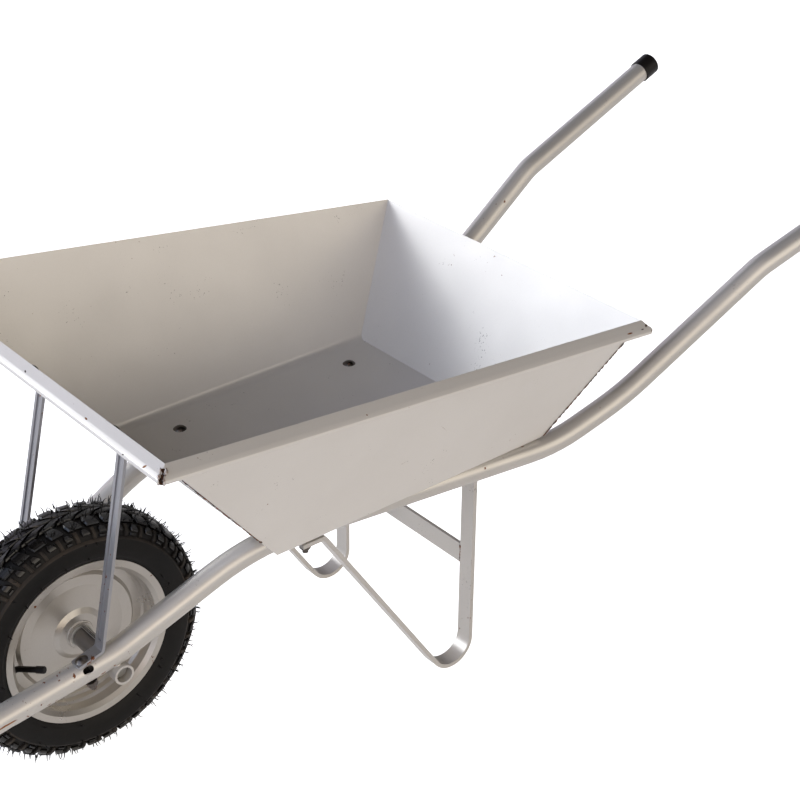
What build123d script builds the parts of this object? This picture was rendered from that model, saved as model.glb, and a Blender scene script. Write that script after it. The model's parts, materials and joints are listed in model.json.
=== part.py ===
from build123d import *
import os
from math import asin, atan2, cos, degrees, radians, sin, sqrt, tan

# Builder's wheelbarrow: folded sheet tray on one bent tube, strap legs, pneumatic wheel.
# Axes: +X towards the wheel, +Y to the operator's left, +Z up, millimetres.
# Pieces are drawn with the axle at x = 0 and the ground at z = 0. The last step moves them
# along X, so that the origin is under the middle of the whole barrow.

# Tyre and inner tube
tyre_radius = 172.0
tyre_width = 82.0
widest_drop = 38.0
shoulder_drop = 14.0
shoulder_inset = 4.0
crown_half_width = 22.0
crown_drop = 2.5
tread_wall = 9.0
side_wall = 6.0
bead_width = 12.0
inner_tube_wall = 2.0

# Rim: two pressed sheets back to back, given along the middle of the sheet
rim_sheet = 2.0
flange_radius = 115.5
flange_side = 35.5
flange_fold = 4.5
seat_radius = 102.3
seat_step_side = 15.0
seat_step_slant = 2.0
step_slant = 4.0
step_radius = 99.8
web_radius = 97.0
skirt_radius = 84.5
dish_radius = 80.0
dish_side = 5.2
crease_radius = 66.0
crease_side = 4.6
boss_base_radius = 36.0
boss_base_side = 9.0
boss_radius = 29.0
boss_side = 13.0

# Hub, axle and the pipes that hold the axle
axle_diameter = 20.0
axle_recess = 10.0
axle_chamfer = 1.0
bush_clearance = 0.05
bush_wall = 3.0
bush_length = 14.0
bush_flange = 1.5
bush_flange_width = 2.0
hub_wall = 4.5
hub_half_length = 18.0
thrust_gap = 0.3
thrust_washer = 1.0
thrust_washer_past_pipe = 1.0
pipe_slack = 0.4
pipe_wall = 3.05
pipe_overhang = 0.5
pipe_set_in = 3.15
axle_pin_diameter = 5.0
axle_pin_offset = 55.0
axle_pin_proud = 1.0

# Valve, bent out of the rim towards the hub
valve_turn = -13.0
valve_stem_diameter = 8.0
valve_start_side = 10.5
valve_elbow_depth = 9.0
valve_reach_in = 21.0
valve_reach_out = 34.0
valve_lean = 6.0
valve_elbow_bend = 7.0
valve_collar_diameter = 11.0
valve_collar = 2.5
valve_cap_diameter = 9.6
valve_cap_length = 12.0
valve_cap_past_stem = 2.0
valve_cap_round = 1.2
hole_clearance = 0.4

# Frame tube: one piece from handle to handle. From the wheel back it climbs to the floor,
# runs under it, then rises past the tray in three straight runs, each with a length and angle
tube_outer = 32.0
tube_wall = 2.0
tube_half_spacing = 106.0
tube_spread = 0.14
front_fall = 18.9
loop_gap = 44.0
loop_bend = 60.0
axle_bend = 100.0
fork_back = 185.5
fork_rise = 131.5
fork_bend = 300.0
floor_slope = 4.9
rise_past_floor = 32.0
rise_run = 109.0
rise_angle = 24.7
rise_bend = 240.0
sweep_run = 221.0
sweep_angle = 35.3
sweep_bend = 400.0
grip_run = 290.0
grip_angle = 23.2
grip_spread = 0.105
kink_bend = 110.0
cap_wall = 1.8
cap_length = 30.0
cap_end = 3.0
cap_round = 2.5
cap_fit = 0.05

# Tray
sheet = 1.2
floor_front_back = 177.0
floor_length = 427.0
floor_half_width = 196.0
rim_front_ahead = 54.5
rim_front_rise = 395.4
rim_front_half_width = 306.4
rim_length = 757.0
rim_slope = 2.22
rim_flange = 13.8
rim_lip = 16.5
rim_fold = 4.0
rim_corner = 8.0
side_fold = 14.0

# Strap legs and their crossbar
strap_width = 25.0
strap = 6.0
leg_outset = 3.0
foot_back = 513.1
foot_radius = 37.0
front_fold_back = 276.8
rear_limb_angle = 86.8
leg_fold = 3.0
front_tab = 34.0
front_tab_bolt = 24.5
tab_gap = 0.12
rear_tab = 27.0
rear_tab_bolt = 14.6
crossbar_low = 154.0
crossbar_height = 30.0
crossbar_sheet = 5.0

# Braces from the tube ahead of the axle up to the front wall
brace_width = 18.0
brace_sheet = 4.0
brace_groove = 8.0
brace_groove_depth = 1.55
brace_groove_stop = 12.0
brace_fold = 3.0
brace_foot_ahead = 23.3
brace_foot = 36.0
brace_foot_bolt = 26.0
brace_outset = 1.0
brace_lean = 1.4
brace_tilt = 9.0
brace_tab = 42.0
brace_tab_bolt = 19.0

# Fasteners
floor_bolt = 8.0
floor_head = 19.0
wall_bolt = 6.0
wall_head = 15.0
foot_bolt = 8.0
foot_head = 17.0
head_dome = 0.24
washer = 1.6
nut_height = 0.8
nut_across = 1.63
thread_past_nut = 6.0

# Slot pressed into the tube beside each brace foot
recess_length = 14.0
recess_width = 9.0
recess_depth = 6.0
recess_out = 11.52
recess_up = 10.56

# How far a cutting shape runs past what it cuts
overcut = 2.0

tube_radius = tube_outer / 2
axle_radius = axle_diameter / 2
axle_height = tyre_radius
bush_outer = axle_diameter + 2 * bush_wall
hub_outer = bush_outer + 2 * hub_wall
pipe_bore = axle_diameter + 2 * pipe_slack
pipe_radius = pipe_bore / 2 + pipe_wall
tube_above_axle = tube_radius + pipe_radius - pipe_set_in
loop_ahead = tyre_radius + loop_gap
pipe_start = hub_half_length + bush_flange + thrust_gap + thrust_washer
pipe_end = tube_half_spacing + tube_radius + pipe_overhang
floor_tan = tan(radians(floor_slope))
fall_tan = tan(radians(front_fall))
sides = {"left": 1, "right": -1}


def rod(start, end, radius):
    start, end = Vector(*start), Vector(*end)
    along = Plane(origin=start, z_dir=end - start)
    return along * Cylinder(radius, (end - start).length, align=(Align.CENTER, Align.CENTER, Align.MIN))


def ring(y_low, y_high, outer, inner):
    outside = rod((0, y_low, axle_height), (0, y_high, axle_height), outer)
    return outside - rod((0, y_low - overcut, axle_height), (0, y_high + overcut, axle_height), inner)


def mirrored(part):
    return mirror(part, about=Plane.XZ)


def turned(profile):
    """Turn a face drawn as (radius, y) once round the axle."""
    return Pos(0, 0, axle_height) * revolve(profile, Axis.Y)


def strip(points, folds, width, thickness):
    """Flat bar bent along points of the XZ plane, with the given radii at its middle."""
    path = FilletPolyline(*[Vector(x, 0, z) for x, z in points], radius=folds)
    start = Plane(origin=path @ 0, x_dir=(0, 1, 0), z_dir=path % 0)
    return sweep(start * Rectangle(width, thickness), path=path)


def meet(point_a, angle_a, point_b, angle_b):
    """Where two lines of the XZ plane cross; angles are in degrees from +X."""
    ax, az = cos(radians(angle_a)), sin(radians(angle_a))
    bx, bz = cos(radians(angle_b)), sin(radians(angle_b))
    dx, dz = point_b[0] - point_a[0], point_b[1] - point_a[1]
    run = (dx * bz - dz * bx) / (ax * bz - az * bx)
    return point_a[0] + run * ax, point_a[1] + run * az


def shifted(point, angle, distance):
    """Move a point of the XZ plane along a direction in degrees from +X."""
    return point[0] + distance * cos(radians(angle)), point[1] + distance * sin(radians(angle))


# The tube's line


def tube_side(x):
    return tube_half_spacing - tube_spread * x


def tube_height(x):
    """Centre height of the straight run under the floor, carried on both ways."""
    return axle_height + fork_rise + floor_tan * (-fork_back - x)


def front_height(x):
    """Centre height of the straight run ahead of the axle."""
    return axle_height + tube_above_axle - fall_tan * x


def floor_under(x):
    return tube_height(x) + tube_radius / cos(radians(floor_slope))


def tube_points(side):
    """Corners of the tube's line on one side, from the grip to the loop."""
    rise_x = -(floor_front_back + floor_length + rise_past_floor)
    rise = (rise_x, tube_height(rise_x))
    sweep = run_back(rise, rise_run, rise_angle)
    kink = run_back(sweep, sweep_run, sweep_angle)
    fork = (-fork_back, tube_height(-fork_back))
    ahead = (loop_ahead, front_height(loop_ahead))
    knots = [kink, sweep, rise, fork, (0.0, front_height(0.0)), ahead]
    grip = run_back(kink, grip_run, grip_angle)
    grip_side = tube_side(kink[0]) + grip_spread * grip_run
    line = [Vector(x, side * tube_side(x), z) for x, z in knots]
    return [Vector(grip[0], side * grip_side, grip[1])] + line


def run_back(point, run, angle):
    return point[0] - run, point[1] + run * tan(radians(angle))


def frame_tube():
    bends = [kink_bend, sweep_bend, rise_bend, fork_bend, axle_bend, loop_bend]
    path = FilletPolyline(*tube_points(1), *tube_points(-1)[::-1], radius=bends + bends[::-1])
    section = Circle(tube_radius) - Circle(tube_radius - tube_wall)
    tube = sweep(Plane(origin=path @ 0, z_dir=path % 0) * section, path=path)
    for side in sides.values():
        past_end = pipe_end + overcut
        tube -= rod((0, side * pipe_start, axle_height), (0, side * past_end, axle_height), pipe_radius)
        tube -= floor_bolt_line(front_bolt_x(), side, floor_bolt / 2 + hole_clearance)
        tube -= foot_bolt_line(side, foot_bolt / 2 + hole_clearance)
        tube -= foot_recess(side)
    return tube


def foot_recess(side):
    """Slot in the tube's outer flank beside the brace foot."""
    centre, up = foot_bolt_frame(side)
    ahead = Vector(up.Z, 0, -up.X)
    outward = Vector(0, side, 0)
    middle = centre + outward * recess_out + up * recess_up
    flank = Plane(origin=middle, x_dir=ahead, z_dir=(outward + up).normalized())
    return extrude(flank * SlotOverall(recess_length, recess_width), amount=recess_depth, both=True)


def handle_cap(side):
    end, kink = tube_points(side)[:2]
    inward = (kink - end).normalized()
    tip = end - inward * cap_end
    cap = rod(tip, end + inward * (cap_length - cap_end), tube_radius + cap_wall)
    cap = fillet(cap.edges().filter_by(GeomType.CIRCLE).sort_by_distance(tip)[0], cap_round)
    return cap - rod(end, end + inward * cap_length, tube_radius + cap_fit)


# Axle


def axle_pipe(side):
    pipe = ring(pipe_start, pipe_end, pipe_radius, pipe_bore / 2) - pin_line(axle_pin_diameter / 2, overcut)
    return pipe if side > 0 else mirrored(pipe)


def pin_line(radius, past):
    reach = pipe_radius + past
    return rod((-reach, axle_pin_offset, axle_height), (reach, axle_pin_offset, axle_height), radius)


def axle():
    half = pipe_end - axle_recess
    shaft = rod((0, -half, axle_height), (0, half, axle_height), axle_radius)
    shaft = chamfer(shaft.edges().filter_by(GeomType.CIRCLE), axle_chamfer)
    hole = pin_line(axle_pin_diameter / 2, overcut)
    return shaft - hole - mirrored(hole)


def axle_pins():
    one = pin_line(axle_pin_diameter / 2, axle_pin_proud)
    return [one, mirrored(one)]


def thrust_washers():
    outer = pipe_radius + thrust_washer_past_pipe
    one = ring(pipe_start - thrust_washer, pipe_start, outer, axle_radius + hole_clearance)
    return [one, mirrored(one)]


# Tray


def floor_inside(x):
    return floor_under(x) + sheet / cos(radians(floor_slope))


def rim_height(x):
    return axle_height + rim_front_rise + tan(radians(rim_slope)) * (x - rim_front_ahead)


def floor_corner(x):
    return Vector(x, floor_half_width, floor_inside(x))


def side_wall_normal():
    """The side wall is flat, through the floor's edge and the front corner of the rim."""
    front, rear = floor_corner(-floor_front_back), floor_corner(-floor_front_back - floor_length)
    corner = Vector(rim_front_ahead, rim_front_half_width, rim_height(rim_front_ahead))
    return (rear - front).cross(corner - front).normalized()


def wall_half_width(x, z):
    normal = side_wall_normal()
    start = floor_corner(-floor_front_back)
    return start.Y - (normal.X * (x - start.X) + normal.Z * (z - start.Z)) / normal.Y


def rim_corners():
    front, rear = rim_front_ahead, rim_front_ahead - rim_length
    return [Vector(x, wall_half_width(x, rim_height(x)), rim_height(x)) for x in (front, rear)]


def tray_space(raised=0.0):
    """The space inside the tray as a solid, its top face at the rim or a little above."""
    front = floor_corner(-floor_front_back)
    rear = floor_corner(-floor_front_back - floor_length)
    top_front, top_rear = rim_corners()
    grow_front = (top_front - front) * (raised / (top_front.Z - front.Z))
    grow_rear = (top_rear - rear) * (raised / (top_rear.Z - rear.Z))
    low = across([front, rear])
    high = across([top_front + grow_front, top_rear + grow_rear])
    faces = [Face(Wire.make_polygon(low)), Face(Wire.make_polygon(high))]
    for i in range(4):
        j = (i + 1) % 4
        faces.append(Face(Wire.make_polygon([low[i], low[j], high[j], high[i]])))
    space = Solid(Shell(faces))
    folds = [e for e in space.edges().sort_by(Axis.Z)[:4] if abs(e.center().Y) > 1]
    return fillet(folds, side_fold)


def across(points):
    """A closed four-sided outline from its two corners on the left."""
    return points + [Vector(p.X, -p.Y, p.Z) for p in reversed(points)]


def tray():
    space = tray_space()
    shell = offset(space, amount=sheet, openings=space.faces().sort_by(Axis.Z)[-1], kind=Kind.INTERSECTION)
    folded = shell + rim_fold_ring()
    for side in sides.values():
        for x in (front_bolt_x(), rear_bolt_x()):
            folded -= floor_bolt_line(x, side, floor_bolt / 2 + hole_clearance)
        folded -= wall_bolt_line(side, wall_bolt / 2 + hole_clearance)
    return folded


def rim_plane():
    slope = radians(rim_slope)
    return Plane(
        origin=(rim_front_ahead, 0, rim_height(rim_front_ahead)),
        x_dir=(cos(slope), 0, sin(slope)),
        z_dir=(-sin(slope), 0, cos(slope)),
    )


def rim_outline(inset):
    """Outer outline of the rim flange, seen square to the rim."""
    plane = rim_plane()
    corners = [plane.to_local_coords(p) for p in across(rim_corners())]
    outline = make_face(Polyline(*[(p.X, p.Y) for p in corners], close=True))
    grown = offset(outline, amount=rim_flange, kind=Kind.INTERSECTION)
    grown = fillet(grown.vertices(), rim_corner)
    return offset(grown, amount=-inset, kind=Kind.ARC) if inset else grown


def rim_fold_ring():
    """The rolled rim: a flange outward from the walls with a lip turned down."""
    plane = rim_plane()
    outside = extrude(rim_outline(0), amount=-rim_lip)
    outside = fillet(outside.edges().group_by(Axis.Z)[-1], rim_fold)
    inside = extrude(Pos(0, 0, -sheet) * rim_outline(sheet), amount=-rim_lip)
    inside = fillet(inside.edges().group_by(Axis.Z)[-1], rim_fold - sheet)
    return plane * (outside - inside) - tray_space(raised=overcut)


# Legs


def leg_offset():
    """The legs stand under the tube where the front floor bolts go through it."""
    return tube_side(front_bolt_x()) + leg_outset


def foot_side(angle, turn):
    """A point on the line that touches the foot's curve, along the middle of the bar."""
    centre = (-foot_back, foot_radius)
    return shifted(centre, angle + turn, foot_radius - strap / 2)


def tab_height(x):
    """Middle height of the front tab, which lies against the underside of the tube."""
    drop = (tube_radius + tab_gap + strap / 2) / cos(radians(floor_slope))
    return tube_height(x) - drop


def front_fold():
    return -front_fold_back, tab_height(-front_fold_back)


def front_limb_angle():
    """Slope of the line from the front fold that touches the foot's curve."""
    ahead, up = front_fold()[0] + foot_back, front_fold()[1] - foot_radius
    return degrees(atan2(up, ahead) + asin((foot_radius - strap / 2) / sqrt(ahead * ahead + up * up)))


def rear_fold():
    tab = (-fork_back, floor_under(-fork_back) - strap / 2 / cos(radians(floor_slope)))
    return meet(foot_side(rear_limb_angle, 90), rear_limb_angle, tab, -floor_slope)


def front_bolt_x():
    return shifted(front_fold(), -floor_slope, front_tab_bolt)[0]


def rear_bolt_x():
    return shifted(rear_fold(), 180 - floor_slope, rear_tab_bolt)[0]


def floor_bolt_line(x, side, radius):
    """A rod square to the floor at one of the floor bolts, well past both ends."""
    slope = radians(floor_slope)
    middle = Vector(x, side * leg_offset(), tube_height(x))
    up = Vector(sin(slope), 0, cos(slope))
    return rod(middle - up * 3 * tube_radius, middle + up * 3 * tube_radius, radius)


def leg(side):
    slope = front_limb_angle()
    foot = meet(foot_side(slope, -90), slope, foot_side(rear_limb_angle, 90), rear_limb_angle)
    points = [
        shifted(front_fold(), -floor_slope, front_tab),
        front_fold(),
        foot,
        rear_fold(),
        shifted(rear_fold(), 180 - floor_slope, rear_tab),
    ]
    folds = [leg_fold + strap / 2, foot_radius - strap / 2, leg_fold + strap / 2]
    bar = Pos(0, side * leg_offset(), 0) * strip(points, folds, strap_width, strap)
    for x in (front_bolt_x(), rear_bolt_x()):
        bar -= floor_bolt_line(x, side, floor_bolt / 2 + hole_clearance)
    return bar


def leg_crossbar():
    """Flat strip butted between the rear limbs."""
    middle = crossbar_low + crossbar_height / 2
    level = meet(foot_side(rear_limb_angle, 90), rear_limb_angle, (0, middle), 0)
    bar = Box(crossbar_height, 2 * leg_offset() - strap_width, crossbar_sheet)
    return Pos(level[0], 0, level[1]) * Rot(0, -rear_limb_angle, 0) * bar


# Braces


def wall_angle():
    front = floor_corner(-floor_front_back)
    top = rim_corners()[0]
    return Vector(1, 0, 0).get_angle(Vector(top.X - front.X, 0, top.Z - front.Z))


def wall_back(distance):
    """A point at a distance behind the outer face of the front wall, and the wall's angle."""
    corner = (-floor_front_back, floor_inside(-floor_front_back))
    return shifted(corner, wall_angle() - 90, sheet + distance), wall_angle()


def brace_top_fold():
    wall, angle = wall_back(brace_sheet / 2)
    return meet(brace_foot_fold(), 90 + brace_tilt, wall, angle)


def brace_foot_fold():
    above = (tube_radius + brace_sheet / 2) / cos(radians(front_fall))
    return brace_foot_ahead, front_height(brace_foot_ahead) + above


def brace(side):
    points = [
        shifted(brace_foot_fold(), -front_fall, brace_foot),
        brace_foot_fold(),
        brace_top_fold(),
        shifted(brace_top_fold(), wall_angle(), brace_tab),
    ]
    fold = brace_fold + brace_sheet / 2
    bar = strip(points, [fold, fold], brace_width, brace_sheet)
    cutter_middle = (brace_sheet + overcut - brace_groove_depth) / 2
    groove = [shifted(p, brace_tilt, cutter_middle) for p in points[1:3]]
    groove = strip_between(*groove, brace_groove, brace_groove_depth + overcut)
    bar = placed_brace(bar - groove, side)
    return bar - foot_bolt_line(side, foot_bolt / 2 + hole_clearance) - wall_bolt_line(
        side, wall_bolt / 2 + hole_clearance
    )


def strip_between(low, high, width, thickness):
    """A straight bar that stops short of both folds."""
    low, high = Vector(low[0], 0, low[1]), Vector(high[0], 0, high[1])
    run = (high - low).normalized() * brace_groove_stop
    start = Plane(origin=low + run, x_dir=(0, 1, 0), z_dir=run)
    length = (high - low - run * 2).length
    return start * Box(width, thickness, length, align=(Align.CENTER, Align.CENTER, Align.MIN))


def brace_side(z):
    """The brace stands over the tube and slants inward as it rises."""
    foot = brace_foot_fold()
    return tube_side(foot[0]) + brace_outset - tan(radians(brace_lean)) * (z - foot[1])


def placed_brace(bar, side):
    """Slide each level of the brace sideways, so that both its ends stay flat on their seats."""
    slant = tan(radians(brace_lean))
    slide = [[1, 0, 0, 0], [0, 1, -side * slant, side * brace_side(0)], [0, 0, 1, 0], [0, 0, 0, 1]]
    return bar.transform_geometry(Matrix(slide))


def foot_bolt_frame(side):
    """Middle of the tube under the foot bolt, and the bolt's upward direction."""
    fall = radians(front_fall)
    seat = shifted(brace_foot_fold(), -front_fall, brace_foot_bolt)
    up = Vector(sin(fall), 0, cos(fall))
    return Vector(seat[0], side * brace_side(seat[1]), seat[1]) - up * (tube_radius + brace_sheet / 2), up


def foot_bolt_line(side, radius):
    centre, up = foot_bolt_frame(side)
    return rod(centre - up * 2 * tube_radius, centre + up * 2 * tube_radius, radius)


def wall_bolt_frame(side):
    """Where the bolt enters the front wall's inner face, and its direction into the tray."""
    seat = shifted(brace_top_fold(), wall_angle(), brace_tab_bolt)
    normal = radians(wall_angle() + 90)
    inward = Vector(cos(normal), 0, sin(normal))
    return Vector(seat[0], side * brace_side(seat[1]), seat[1]) + inward * (sheet + brace_sheet / 2), inward


def wall_bolt_line(side, radius):
    seat, inward = wall_bolt_frame(side)
    reach = inward * 4 * wall_bolt
    return rod(seat - reach, seat + reach, radius)


# Fasteners


def domed_bolt(seat, up, diameter, head, grip):
    """Bolt with its head on the seat; grip is the length from the seat to its nut's far face."""
    height = head * head_dome
    ball = (head * head / 4 + height * height) / (2 * height)
    dome = Pos(0, 0, height - ball) * Sphere(ball)
    dome &= Pos(0, 0, height / 2) * Box(head, head, height)
    shank = Cylinder(diameter / 2, grip + thread_past_nut, align=(Align.CENTER, Align.CENTER, Align.MAX))
    return Plane(origin=seat, z_dir=up) * (dome + shank)


def nut(seat, down, diameter):
    """Hexagon nut whose near face is on the seat, pointing down the bolt."""
    body = extrude(RegularPolygon(nut_across * diameter / 2, 6, major_radius=False), nut_height * diameter)
    body -= Cylinder(diameter / 2, 4 * nut_height * diameter)
    return Plane(origin=seat, x_dir=(0, 1, 0), z_dir=down) * body


def plain_washer(seat, down, diameter):
    body = Cylinder(diameter, washer, align=(Align.CENTER, Align.CENTER, Align.MIN))
    body -= Cylinder(diameter / 2 + hole_clearance, 4 * washer)
    return Plane(origin=seat, z_dir=down) * body


def floor_seats(x, layers):
    """Left and right: the bolt's seat on the floor, the way up and the distance to its washer."""
    slope = radians(floor_slope)
    up = Vector(sin(slope), 0, cos(slope))
    seats = []
    for side in sides.values():
        centre = Vector(x, side * leg_offset(), tube_height(x))
        seats.append((centre + up * (tube_radius + sheet), up, sheet + layers))
    return seats


def front_floor_seats():
    return floor_seats(front_bolt_x(), tube_outer + tab_gap + strap)


def rear_floor_seats():
    return floor_seats(rear_bolt_x(), strap)


def wall_seats():
    return [(*wall_bolt_frame(side), sheet + brace_sheet) for side in sides.values()]


def foot_seats():
    seats = []
    for side in sides.values():
        centre, up = foot_bolt_frame(side)
        seats.append((centre + up * (tube_radius + brace_sheet), up, brace_sheet + tube_outer))
    return seats


def bolts(seats, diameter, head):
    full = washer + nut_height * diameter
    return [domed_bolt(seat, up, diameter, head, thick + full) for seat, up, thick in seats]


def washers(seats, diameter):
    return [plain_washer(seat - up * thick, up * -1, diameter) for seat, up, thick in seats]


def nuts(seats, diameter):
    return [nut(seat - up * (thick + washer), up * -1, diameter) for seat, up, thick in seats]


# Wheel


def rim_profile():
    """Middle line of one pressed sheet as (radius, side) from the hub outward."""
    touch = rim_sheet / 2
    return [
        (hub_outer / 2, boss_side),
        (boss_radius, boss_side),
        (boss_base_radius, boss_base_side),
        (crease_radius, crease_side),
        (dish_radius, dish_side),
        (skirt_radius, touch),
        (web_radius, touch),
        (step_radius, touch + step_slant),
        (step_radius, seat_step_side - seat_step_slant),
        (seat_radius, seat_step_side + seat_step_slant),
        (seat_radius, flange_side - flange_fold),
        (seat_radius + flange_fold, flange_side),
        (flange_radius, flange_side),
    ]


def rim_half(side):
    half = turned(trace(Polyline(*rim_profile()), rim_sheet))
    half -= rod((0, 0, axle_height), (0, flange_side, axle_height), hub_outer / 2)
    return half - valve_solid(hole_clearance) if side > 0 else mirrored(half)


def tyre_points(wall_side, wall_top):
    """Bead, widest point, shoulder and crown of the tyre's section, inset by its walls."""
    widest = tyre_radius - widest_drop
    shoulder = tyre_radius - shoulder_drop - wall_top
    half = tyre_width / 2 - wall_side
    return [
        (widest, half),
        (shoulder, half - shoulder_inset),
        (tyre_radius - crown_drop - wall_top, crown_half_width - wall_side / 2),
        (tyre_radius - wall_top, 0),
    ]


def tyre_face(bead_low, bead_side, wall_side, wall_top):
    widest, shoulder, edge, crown = tyre_points(wall_side, wall_top)
    low = (bead_low, bead_side)
    side_line = ThreePointArc(low, widest, shoulder)
    corner = Line(shoulder, edge)
    top = ThreePointArc(edge, crown, (edge[0], -edge[1]))
    lines = [side_line, corner, top]
    lines += [Line((edge[0], -edge[1]), (shoulder[0], -shoulder[1]))]
    lines += [ThreePointArc((shoulder[0], -shoulder[1]), (widest[0], -widest[1]), (low[0], -low[1]))]
    lines += [Line((low[0], -low[1]), low)]
    return make_face(lines)


def bead_radius():
    return seat_radius + rim_sheet / 2


def bead_outside():
    return flange_side - rim_sheet / 2


def tyre():
    """Plain closed tyre section; its beads sit on the seats, against the flanges."""
    top = flange_radius + rim_sheet / 2
    outer = tyre_face(top, bead_outside(), 0, 0)
    half = bead_outside() - flange_fold
    foot = Polyline(
        (top, bead_outside()),
        (bead_radius() + flange_fold, bead_outside()),
        (bead_radius(), half),
        (bead_radius(), -half),
        (bead_radius() + flange_fold, -bead_outside()),
        (top, -bead_outside()),
        close=True,
    )
    return turned(outer + make_face(foot) - inner_tube_face(0))


def inner_tube_face(inset):
    """The space inside the tyre, down to the bead seats."""
    face = tyre_face(bead_radius(), bead_outside() - bead_width, side_wall, tread_wall)
    return offset(face, amount=-inset, kind=Kind.INTERSECTION) if inset else face


def inner_tube():
    tube = turned(inner_tube_face(0) - inner_tube_face(inner_tube_wall))
    return tube - valve_solid(0)


def valve_point(radius, y, lean=0.0):
    turn = radians(valve_turn)
    x = radius * cos(turn) - lean * sin(turn)
    return Vector(x, y, axle_height + radius * sin(turn) + lean * cos(turn))


def valve_path():
    elbow_radius = step_radius - valve_elbow_depth
    start = valve_point(bead_radius() + inner_tube_wall, valve_start_side)
    elbow = valve_point(elbow_radius, valve_start_side)
    tip = valve_point(elbow_radius - valve_reach_in, valve_start_side + valve_reach_out, valve_lean)
    return FilletPolyline(start, elbow, tip, radius=valve_elbow_bend)


def valve_solid(clearance):
    path = valve_path()
    section = Circle(valve_stem_diameter / 2 + clearance)
    return sweep(Plane(origin=path @ 0, z_dir=path % 0) * section, path=path)


def valve_stem():
    """Rubber stem with a collar seated against the inside of the rim."""
    seat = sqrt((step_radius - rim_sheet / 2) ** 2 - (valve_collar_diameter / 2) ** 2)
    collar_start = valve_point(seat, valve_start_side)
    collar_end = valve_point(seat - valve_collar, valve_start_side)
    collar = rod(collar_start, collar_end, valve_collar_diameter / 2)
    return valve_solid(0) + collar


def valve_cap():
    path = valve_path()
    tip, ahead = path @ 1, path % 1
    back = tip - ahead * (valve_cap_length - valve_cap_past_stem)
    cap = rod(back, tip + ahead * valve_cap_past_stem, valve_cap_diameter / 2)
    cap = fillet(cap.edges().filter_by(GeomType.CIRCLE).sort_by_distance(tip)[0], valve_cap_round)
    return cap - rod(back - ahead * overcut, tip, valve_stem_diameter / 2)


def hub_tube():
    return ring(-hub_half_length, hub_half_length, hub_outer / 2, bush_outer / 2)


def hub_bush(side):
    bore = axle_radius + bush_clearance
    bush = ring(hub_half_length - bush_length, hub_half_length, bush_outer / 2, bore)
    flange = bush_outer / 2 + bush_flange_width
    bush += ring(hub_half_length, hub_half_length + bush_flange, flange, bore)
    return bush if side > 0 else mirrored(bush)


# The whole barrow


def pieces():
    found = {
        "frame_tube": frame_tube(),
        "axle": axle(),
        "axle_pins": axle_pins(),
        "thrust_washers": thrust_washers(),
        "tray": tray(),
        "leg_crossbar": leg_crossbar(),
        "floor_bolts_front": bolts(front_floor_seats(), floor_bolt, floor_head),
        "floor_bolts_rear": bolts(rear_floor_seats(), floor_bolt, floor_head),
        "floor_washers": washers(front_floor_seats() + rear_floor_seats(), floor_bolt),
        "floor_nuts": nuts(front_floor_seats() + rear_floor_seats(), floor_bolt),
        "wall_bolts": bolts(wall_seats(), wall_bolt, wall_head),
        "wall_washers": washers(wall_seats(), wall_bolt),
        "wall_nuts": nuts(wall_seats(), wall_bolt),
        "foot_bolts": bolts(foot_seats(), foot_bolt, foot_head),
        "foot_washers": washers(foot_seats(), foot_bolt),
        "foot_nuts": nuts(foot_seats(), foot_bolt),
        "tyre": tyre(),
        "inner_tube": inner_tube(),
        "hub_tube": hub_tube(),
        "valve_stem": valve_stem(),
        "valve_cap": valve_cap(),
    }
    for name, side in sides.items():
        found["axle_pipe_" + name] = axle_pipe(side)
        found["handle_cap_" + name] = handle_cap(side)
        found["leg_" + name] = leg(side)
        found["brace_" + name] = brace(side)
        found["rim_half_" + name] = rim_half(side)
        found["hub_bush_" + name] = hub_bush(side)
    return found


def middle_of(shapes):
    boxes = [piece.bounding_box() for shape in shapes.values() for piece in as_list(shape)]
    return (min(b.min.X for b in boxes) + max(b.max.X for b in boxes)) / 2


def as_list(shape):
    return shape if isinstance(shape, list) else [shape]


def main():
    os.makedirs("parts", exist_ok=True)
    shapes = pieces()
    middle = middle_of(shapes)
    for name, shape in shapes.items():
        moved = [Pos(-middle, 0, 0) * piece for piece in as_list(shape)]
        whole = moved[0] if len(moved) == 1 else Compound(children=moved)
        export_step(whole, "parts/" + name + ".step")
    print("axle is", round(-middle, 3), "mm ahead of the origin,", round(axle_height, 3), "mm up")


main()
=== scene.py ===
import bpy, json, math, random
from mathutils import Matrix, Vector, noise
from mathutils.bvhtree import BVHTree


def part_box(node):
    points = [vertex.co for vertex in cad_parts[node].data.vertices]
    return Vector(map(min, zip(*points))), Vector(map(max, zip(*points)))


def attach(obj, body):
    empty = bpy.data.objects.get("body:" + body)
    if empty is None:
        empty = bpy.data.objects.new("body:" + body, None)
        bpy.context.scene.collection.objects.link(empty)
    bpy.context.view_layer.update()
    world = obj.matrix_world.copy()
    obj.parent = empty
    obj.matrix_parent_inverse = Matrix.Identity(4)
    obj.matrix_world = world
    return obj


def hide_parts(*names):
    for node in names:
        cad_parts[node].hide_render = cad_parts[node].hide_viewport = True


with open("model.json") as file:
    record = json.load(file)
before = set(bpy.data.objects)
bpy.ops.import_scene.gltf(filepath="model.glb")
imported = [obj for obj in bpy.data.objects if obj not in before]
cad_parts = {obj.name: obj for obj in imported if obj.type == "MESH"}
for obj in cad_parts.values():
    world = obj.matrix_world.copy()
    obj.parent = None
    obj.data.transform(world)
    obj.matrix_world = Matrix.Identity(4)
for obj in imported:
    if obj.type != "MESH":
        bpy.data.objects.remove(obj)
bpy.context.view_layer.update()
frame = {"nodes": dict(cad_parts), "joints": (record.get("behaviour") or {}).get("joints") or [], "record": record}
nodes = frame["nodes"]
axleAt = Vector(frame["joints"][0]["pos_m"])
print("stage: frame loaded")


# Small helpers for meshes and node trees

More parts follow.
